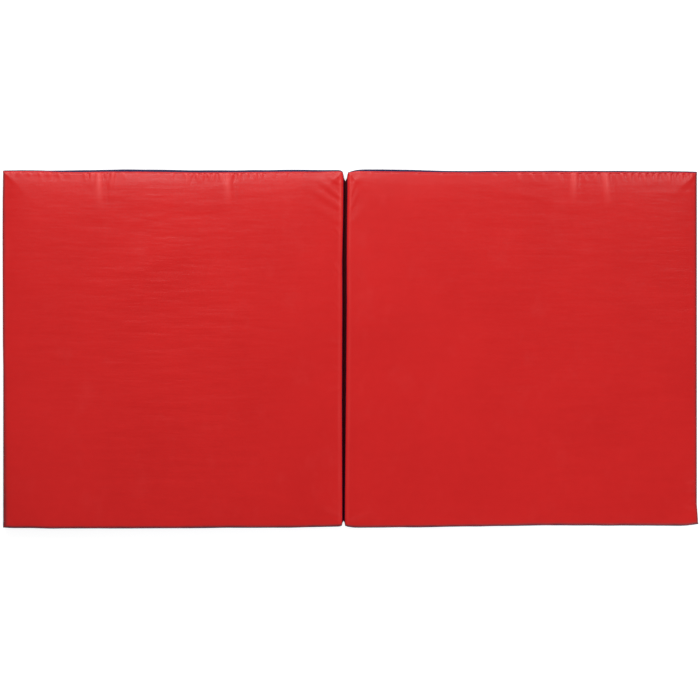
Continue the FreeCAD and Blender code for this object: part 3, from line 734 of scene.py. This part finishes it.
def makeCovers(side):
    sign = sides[side]
    low, high = [list(c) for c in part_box(side + "_top_sheet")]
    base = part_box(side + "_base_sheet")[1][2]
    seam, top = low[2], high[2]
    wall, end = hingeWall(side), low[0] if sign < 0 else high[0]
    r = cover["radius"]
    shell = gridPiece(side + "_shell", (low[0] + r, low[1] + r), (high[0] - r, high[1] - r), cover["spacing"], top)
    upper, band = coverRows(top, seam, base)
    growRim(shell, low, high, upper + band)
    flat = getPoints(shell)
    out = pastBox(flat, low, high)
    isTop = flat[:, 2] > seam
    tucked = (out < -0.0015) & (flat[:, 2] < seam + 0.0002)
    atEnd = sign * (end - flat[:, 0]) < cover["near"]
    pinned = np.where(tucked | (atEnd & ~isTop), 1.0, 0.0)
    swollen = np.zeros_like(flat)
    inflate(shell, pinned)
    swollen = getPoints(shell) - flat
    cap = np.where(isTop, cover["capTop"], cover["capSide"])
    atHinge = sign * (flat[:, 0] - wall) < 0.02
    cap = np.where(atHinge & ~isTop, cover["capHinge"], cap)
    length = np.maximum(np.linalg.norm(swollen, axis=1), 1e-9)
    swollen *= (np.tanh(length / cap) * cap / length)[:, None]
    print(side, "cover inflated by up to", round(float(length.max()) * 1000, 2), "mm")
    # finer cells along the back seam and the groove, where the puckers and folds are
    laid = shell.data.attributes.new("laid", "FLOAT_VECTOR", "POINT")
    laid.data.foreach_set("vector", flat.ravel())
    setPoints(shell, flat + swollen)
    centres = faceCentres(shell)
    openFaces(shell, (centres[:, 2] > seam + 0.001) & ((centres[:, 1] > high[1] - cover["fineDepth"])
            | (sign * (centres[:, 0] - wall) < lip["fineDepth"])))
    bpy.ops.mesh.subdivide(number_cuts=1)
    closeEdit()
    flat = np.empty(len(shell.data.vertices) * 3)
    shell.data.attributes["laid"].data.foreach_get("vector", flat)
    flat = flat.reshape(-1, 3)
    shell.data.attributes.remove(shell.data.attributes["laid"])
    out = pastBox(flat, low, high)
    isTop = flat[:, 2] > seam
    share = np.clip((seam - flat[:, 2]) / (seam - base), 0, 1)
    points = pullCorners(getPoints(shell), side, 1 - share)
    onEnd = (sign * (end - flat[:, 0]) < cover["near"]) & ~isTop
    # the top is crowned: it runs down a little towards its edges
    fall = cover["crown"] * np.clip(1 + out / cover["crownReach"], 0, 1) ** 2 * isTop
    points[:, 2] -= fall * np.clip(flat[:, 2] - seam, 0, None)
    onTop = ease((flat[:, 2] - seam) / (top - seam - 0.002))
    inner = ease((-out - 0.001) / 0.02)
    x, y = flat[:, 0], flat[:, 1]
    pucker, fold = puckerHeight(x, y) * ease(-out / 0.002), foldHeight(x, y, side)
    roll = lipHeight(x, y, sign * (x - wall)) * (0.4 + 0.6 * ease((halfWidth - np.abs(y)) / 0.03))
    points[:, 2] += (rippleHeight(x, y) * inner + pucker + fold + roll) * onTop
    # painted highlight: the raised puckers, folds and lip are drawn paler, standing for their glints
    paintedHighlight = crease["pucker"] * pucker + crease["fold"] * fold + crease["lip"] * roll
    # painted shade: the front edge and the outer end are drawn darker where they round away from the light
    edgeShadeAmount = np.zeros(len(x))
    for key, inward in (("front", y - low[1]), (side, sign * (end - x))):
        most, width = edgeShade[key]
        edgeShadeAmount = np.maximum(edgeShadeAmount, most * ease(1.5 * (1 - inward / width)))
    edgeShadeAmount = edgeShadeAmount * (0.85 + 0.15 * softNoise((x + y) / 0.03, x * 0, 61))
    marks = {"crease": np.clip(paintedHighlight, 0, crease["most"]) * onTop, "drawn": rippleStrength(x, y) * onTop,
             "edgeShade": edgeShadeAmount * isTop}
    for label, amount in marks.items():
        shell.data.attributes.new(label, "FLOAT", "POINT").data.foreach_set("value", amount)
    # its edge is drawn in, so that the band shows past it
    drawn = ease((flat[:, 2] - seam) / 0.004) * isTop
    fromGroove = ease(sign * (x - wall) / setBack["reach"])
    for way, edge, inward in ((-1, "back", high[1] - y), (1, "front", y - low[1])):
        points[:, 1] += way * setBack[edge] * drawn * (1 - ease(inward / setBack["fade"])) * fromGroove
    leans = readTable(endLean, y) if side == "left" else 0
    points[:, 0] += sign * (leans - setBack["end"]) * drawn * (1 - ease(sign * (end - x) / setBack["fade"]))
    # the band swells between its seams
    belly = np.sin(math.pi * share ** 0.40) ** 0.9
    atBack, atFront = high[1] - y < cover["near"], y - low[1] < cover["near"]
    points[:, 1] += np.where(atBack & ~isTop, readTable(backSwell, x) * belly, 0)
    points[:, 1] -= np.where(atFront & ~isTop, frontSwell * belly, 0)
    points[:, 0] += np.where(onEnd, sign * cover["lap"], 0)
    wave = bandWave["height"] * softNoise((x + y) / bandWave["length"], flat[:, 2] / bandWave["tall"] + 7, 21)
    points[:, 1] += np.where((atBack | atFront) & ~isTop, np.sign(y) * wave * belly, 0)
    # the front outer corner flares
    if side == "right":
        across, along = (y - flare["place"][1]) / flare["width"], (x - flare["place"][0]) / flare["reach"] + 1
        swing = flare["size"] * np.exp(-across ** 2) * ease(along)
        points[:, 0] += swing * np.where(isTop, 1, np.clip(1 - 3 * share, 0, 1))
    setPoints(shell, points)
    verts = [tuple(p.vertices) for p in shell.data.polygons]
    lowest = np.array([min(flat[i, 2] for i in v) for v in verts])
    highest = np.array([max(flat[i, 2] for i in v) for v in verts])
    onlySelect(shell)
    bpy.ops.object.duplicate()
    topSheet = newPiece(side + "_top_cover")
    dropFaces(topSheet, lowest < seam)
    dropFaces(shell, highest > seam)
    strip = newPiece(side + "_side_band", shell)
    # the zip panel takes the end of the band
    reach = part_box(side + "_zip_panel")[1][1]
    for cut in (reach, -reach):
        centres = faceCentres(strip)
        openFaces(strip, (sign * (end - centres[:, 0]) < cover["near"]) & (np.abs(centres[:, 1] - cut) < 0.02))
        bpy.ops.mesh.bisect(plane_co=(0, cut, 0), plane_no=(0, 1, 0))
        closeEdit()
    centres = faceCentres(strip)
    dropFaces(strip, (sign * (end - centres[:, 0]) < cover["near"]) & (np.abs(centres[:, 1]) < reach - 1e-5))
    for piece in (topSheet, strip):
        thicken(piece, cover["wall"])
        smooth(piece, 60)
    body = side + "_panel"
    finishPiece(topSheet, "redVinyl", body, side + "_top_sheet")
    finishPiece(strip, "navyVinyl", body, side + "_boxing_strip")
    width, depth = high[0] - low[0], high[1] - low[1]
    print(side, "cover made")


for side in sides:
    makeCovers(side)


# foam, base sheets and the hinge strip

foam = dict(cuts=22, sunk=0.0018, setIn=0.0012, drawn=0.0028, endGap=0.0090, saw=0.00035,
            edgeDrop=0.0030, edgeReach=0.03, cornerDrop=0.004, cornerDraw=0.006, cornerReach=0.025)


def makeFoam(side, layer):
    sign = sides[side]
    low, high = [np.array(c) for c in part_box(side + "_foam_" + layer)]
    low, high = low + foam["setIn"], high - foam["setIn"]
    thin = foam["setIn"] - 0.0001
    low[2], high[2] = low[2] - thin, high[2] + thin
    if layer == "top":
        high[2] -= foam["sunk"]
        low[:2], high[:2] = low[:2] + foam["drawn"], high[:2] - foam["drawn"]
    (low if sign < 0 else high)[0] -= sign * (foam["endGap"] - foam["setIn"])
    centre, size = (low + high) / 2, high - low
    onlySelect()
    bpy.ops.mesh.primitive_cube_add(size=1, location=centre)
    block = newPiece(side + "_foam_" + layer + "_slab")
    resizeAll(block, size, centre)
    applyPlace()
    openEdit(block)
    bpy.ops.mesh.subdivide(number_cuts=foam["cuts"])
    closeEdit()
    points = getPoints(block)
    flat = points.copy()
    # rounded edges and corners where the upper layer meets the drawn sheet
    if layer == "top":
        inside = np.minimum(flat - low, high - flat)[:, :2]
        atCorner = 1 - ease(inside.max(axis=1) / foam["cornerReach"])
        atEdge = 1 - ease(inside.min(axis=1) / foam["edgeReach"])
        cut = foam["edgeDrop"] * atEdge + foam["cornerDrop"] * atCorner
        points[:, 2] -= np.where(flat[:, 2] > high[2] - 1e-6, cut, 0)
        points[:, :2] -= np.sign(flat - centre)[:, :2] * foam["cornerDraw"] * atCorner[:, None]
    saw = foam["saw"] * softNoise(flat[:, 0] / 0.05 + 3, flat[:, 1] / 0.012 + flat[:, 2] / 0.01, 31)
    points[:, 1] += saw * np.where(np.abs(flat[:, 1]) > high[1] - 1e-6, -1, 0) * np.sign(flat[:, 1])
    setPoints(block, pullCorners(points, side))
    smooth(block, 40)
    finishPiece(block, "firmFoam" if layer == "top" else "softFoam", side + "_panel", side + "_foam_" + layer)


def makeBase(side):
    low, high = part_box(side + "_base_sheet")
    sheet = gridPiece(side + "_base_cover", low, high, 0.02, high[2])
    setPoints(sheet, pullCorners(getPoints(sheet), side, 0.0))
    thicken(sheet, high[2] - low[2])
    smooth(sheet, 40)
    finishPiece(sheet, "undersideVinyl", side + "_panel", side + "_base_sheet")


# endRise and longer: 1 is the back end and -1 the front end
hinge = dict(cell=0.0056, sag=0.00035, crease=0.0030, endRise={1: 0.012, -1: 0.008}, endReach=0.05,
             longer={1: 0.0052, -1: 0.0130}, riseFade=0.006, stitchIn=0.006, stitchEnd=0.004,
             stitchSink=0.00024)  # so that the panels can lie together


def makeHinge():
    low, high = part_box("hinge_strip")
    walls = [hingeWall(side) for side in sides]
    middle = sum(walls) / 2
    strip = gridPiece("hinge_web", low, high, hinge["cell"], high[2])
    openEdit(strip, "EDGE", "DESELECT")
    along = [abs(strip.data.vertices[e.vertices[0]].co.y - strip.data.vertices[e.vertices[1]].co.y) < 1e-6
             for e in strip.data.edges]
    closeEdit()
    strip.data.edges.foreach_set("select", along)
    bpy.ops.object.mode_set(mode="EDIT")
    bpy.ops.mesh.subdivide_edgering(number_cuts=3, smoothness=0)
    closeEdit()
    points = getPoints(strip)
    dip = np.exp(-((points[:, 0] - middle) / hinge["crease"]) ** 2)
    points[:, 2] -= hinge["sag"] * dip * (0.7 + 0.3 * softNoise(points[:, 1] / 0.05, points[:, 0] * 0, 41))
    # each end is a hollow curve, longest where it is sewn to the panels
    across, half = np.abs(points[:, 0] - middle), walls[1] - middle
    aside = np.clip(across / half, 0, 1) * np.clip(1 - (across - half) / hinge["riseFade"], 0, 1)
    toEnd = np.where(points[:, 1] > 0, high[1] - points[:, 1], points[:, 1] - low[1])
    for end in (1, -1):
        longer = (hinge["longer"][end] + hinge["endRise"][end] * aside) * (1 - ease(toEnd / hinge["endReach"]))
        points[:, 1] += np.where(end * points[:, 1] > 0, end * longer, 0)
    points[:, 0] += sum(readTable(groove[side], points[:, 1]) for side in sides) / 2
    setPoints(strip, points)
    thicken(strip, high[2] - low[2])
    smooth(strip, 50)
    # the web's darker red is painted shade for the groove
    finishPiece(strip, "hingeVinyl", None, "hinge_strip")
    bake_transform(strip)


for side in sides:
    makeFoam(side, "base")
    makeFoam(side, "top")
    makeBase(side)
makeHinge()
print("foam, base sheets and hinge made")


# zips

zipPanel = dict(cell=0.0060, mouth=0.0150, slot=0.0060, floor=0.0040, slope=0.0048, endReach=0.4780,
                slotReach=0.4672, hemSwell=0.00025, wall=0.0008)
stitch = dict(length=0.0028, thick=0.00055, pitch=0.0037, sink=0.00012, segments=6, rings=5)
tooth = dict(pitch=0.0020, along=0.00125, deep=0.0022, headWidth=1.25, rootWidth=0.75, inset=0.00028,
             rounding=0.00022)


# sign, the end wall's x and the chain's height
def zipFrame(side):
    sign = sides[side]
    low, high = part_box(side + "_zip_panel")
    end = low[0] if sign < 0 else high[0]
    level = (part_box(side + "_zip_coil_upper")[0][2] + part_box(side + "_zip_coil_lower")[1][2]) / 2
    return sign, end, level


# a sheet that stands on the end wall, its cells between the given columns and rows
def uprightGrid(name, columns, rows, place):
    onlySelect()
    bpy.ops.mesh.primitive_grid_add(x_subdivisions=len(columns) - 1, y_subdivisions=len(rows) - 1, size=2)
    sheet = newPiece(name)
    grid = getPoints(sheet)
    i = np.rint((grid[:, 0] + 1) / 2 * (len(columns) - 1)).astype(int)
    j = np.rint((grid[:, 1] + 1) / 2 * (len(rows) - 1)).astype(int)
    setPoints(sheet, place(np.array(columns)[i], np.array(rows)[j]))
    return sheet


# turns the faces so that they look along x towards sign
def faceOut(piece, sign):
    openEdit(piece)
    normals = np.empty(len(piece.data.polygons) * 3)
    piece.data.polygons.foreach_get("normal", normals)
    if normals.reshape(-1, 3)[:, 0].mean() * sign < 0:
        bpy.ops.mesh.flip_normals()
    closeEdit()


def makeZipPanel(side):
    sign, end, level = zipFrame(side)
    low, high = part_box(side + "_zip_panel")
    shape = zipPanel
    mouth, slot = shape["mouth"], shape["slot"]
    below = np.linspace(low[2] - level + 0.0001, -mouth - 0.0012, 3)
    above = np.linspace(mouth + 0.0012, high[2] - level - 0.0001, 3)
    slope = np.linspace(-mouth - 0.0004, -mouth + shape["slope"] + 0.0006, 9)
    floor = [-0.0088, -0.0074, -slot]
    rows = sorted(set(np.round(np.concatenate([below, above, slope, -slope, floor, [-f for f in floor]]), 6)))
    count = round(2 * high[1] / shape["cell"])
    ends = np.linspace(shape["slotReach"], shape["endReach"] + 0.0012, 11)
    middle = np.linspace(-shape["slotReach"], shape["slotReach"], count)
    outer = [-high[1], -high[1] + 0.006, high[1] - 0.006, high[1]]
    columns = sorted(set(np.round(np.concatenate([middle, ends, -ends, outer]), 6)))

    def place(y, dz):
        depthIn = np.minimum(mouth - np.abs(dz), shape["endReach"] - np.abs(y))
        t = np.clip(depthIn / shape["slope"], -0.2, 1.2)
        deep = shape["floor"] * ease(t)
        hem = shape["hemSwell"] * ease(1 - (np.abs(dz) - slot - 0.0035) / 0.0015) * (np.abs(dz) < 0.0115)
        pucker = 0.00022 * softNoise(y / 0.007, dz / 0.006, 51) * ease(t) * ease((np.abs(dz) - slot) / 0.002)
        lift = -deep + hem * (t > 0.9) + pucker
        return np.stack([end + sign * lift, y, level + dz], axis=1)

    panel = uprightGrid(side + "_zip_band", columns, rows, place)
    faceOut(panel, sign)
    centres = faceCentres(panel)
    dropFaces(panel, (np.abs(centres[:, 2] - level) < slot) & (np.abs(centres[:, 1]) < shape["slotReach"]))
    thicken(panel, shape["wall"])
    smooth(panel, 50)
    finishPiece(panel, "navyVinyl", side + "_panel", side + "_zip_panel")


def makeTape(side, row):
    sign, _, level = zipFrame(side)
    low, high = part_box(side + "_zip_tape_" + row)
    face = max(low[0] * sign, high[0] * sign)
    rows = np.linspace(low[2] - level, high[2] - level, 9)
    columns = np.linspace(low[1], high[1], 160)

    def place(y, dz):
        bead = 0.00012 * np.exp(-((np.abs(dz) - 0.0040) / 0.0007) ** 2)
        return np.stack([sign * (face - 0.00005 + bead), y, level + dz], axis=1)

    tape = uprightGrid(side + "_zip_tape_" + row + "_woven", columns, rows, place)
    faceOut(tape, sign)
    thicken(tape, high[0] - low[0] - 0.00012)
    smooth(tape, 50)
    finishPiece(tape, "zipTape", side + "_panel", side + "_zip_tape_" + row)


# one coil loop, then a row of them
def makeTeeth(side, row):
    sign = sides[side]
    low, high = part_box(side + "_zip_coil_" + row)
    up = 1 if row == "upper" else -1
    back = min(low[0] * sign, high[0] * sign)
    inner = low[2] if up > 0 else high[2]
    outer = high[2] if up > 0 else low[2]
    centre = (sign * (back + tooth["deep"] / 2), low[1] + tooth["along"] * (0.8 if up > 0 else 1.6),
              (inner + outer) / 2)
    onlySelect()
    bpy.ops.mesh.primitive_cylinder_add(vertices=8, radius=0.5, depth=1, location=centre)
    loop = newPiece(side + "_zip_coil_" + row + "_teeth")
    applyPlace()
    resizeAll(loop, (tooth["deep"], tooth["along"], abs(outer - inner)), centre)
    # the coupling head at the inner end is wider, and both ends are rounded off
    for level, grow in ((inner, tooth["headWidth"]), (outer, tooth["rootWidth"])):
        centres = faceCentres(loop)
        openFaces(loop, np.abs(centres[:, 2] - level) < 1e-6)
        bpy.ops.transform.resize(value=(1, grow, 1), center_override=(centre[0], centre[1], level))
        bpy.ops.mesh.inset(thickness=tooth["inset"], depth=tooth["rounding"])
        closeEdit()
    count = int((high[1] - low[1] - 0.003) / tooth["pitch"])
    repeat(loop, count, (0, tooth["pitch"], 0))
    smooth(loop, 50)
    finishPiece(loop, "zipCoil", side + "_panel", side + "_zip_coil_" + row)


# one stitch like a grain of rice, then a row of them along an axis
def stitchRow(name, start, direction, out, length, material, body):
    start, direction, out = (np.array(v, float) for v in (start, direction, out))
    onlySelect()
    bpy.ops.mesh.primitive_uv_sphere_add(segments=stitch["segments"], ring_count=stitch["rings"], radius=0.5)
    row = newPiece(name)
    grain = getPoints(row)
    side = np.cross(direction, out)
    along, across, rise = grain[:, 2], grain[:, 0], grain[:, 1]
    sunk = -2.2 * stitch["sink"] * (2 * np.abs(along)) ** 3
    points = (start + np.outer(along * stitch["length"], direction) + np.outer(across * stitch["thick"], side)
              + np.outer(rise * stitch["thick"] + sunk + 0.00006, out))
    setPoints(row, points)
    openEdit(row)
    bpy.ops.mesh.normals_make_consistent(inside=False)
    closeEdit()
    repeat(row, int(length / stitch["pitch"]), direction * stitch["pitch"])
    smooth(row, 60)
    finishPiece(row, material, body)
    return row


def makeZip(side):
    sign, end, level = zipFrame(side)
    body = side + "_panel"
    makeZipPanel(side)
    for row, up in (("upper", 1), ("lower", -1)):
        makeTape(side, row)
        makeTeeth(side, row)
        face = end - sign * (zipPanel["floor"] - zipPanel["hemSwell"])
        reach = zipPanel["slotReach"] - 0.001
        stitchRow(side + "_zip_stitches_" + row, (face, -reach, level + up * 0.0080), (0, 1, 0), (sign, 0, 0),
                2 * reach, "thread", body)
    for node in ("top_stops", "bottom_stop", "slider", "pull"):
        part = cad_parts[side + "_zip_" + node]
        for slot in part.material_slots:
            slot.material = materials["zipMetal"]


for side in sides:
    makeZip(side)
low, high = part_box("hinge_strip")
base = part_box("left_base_sheet")[0][2] + hinge["stitchSink"]
for side, x in (("left", low[0] + hinge["stitchIn"]), ("right", high[0] - hinge["stitchIn"])):
    stitchRow(side + "_hinge_stitches", (x, low[1] + hinge["stitchEnd"], base), (0, 1, 0), (0, 0, -1),
              high[1] - low[1] - 2 * hinge["stitchEnd"], "thread", side + "_panel")
print("zips and stitches made")
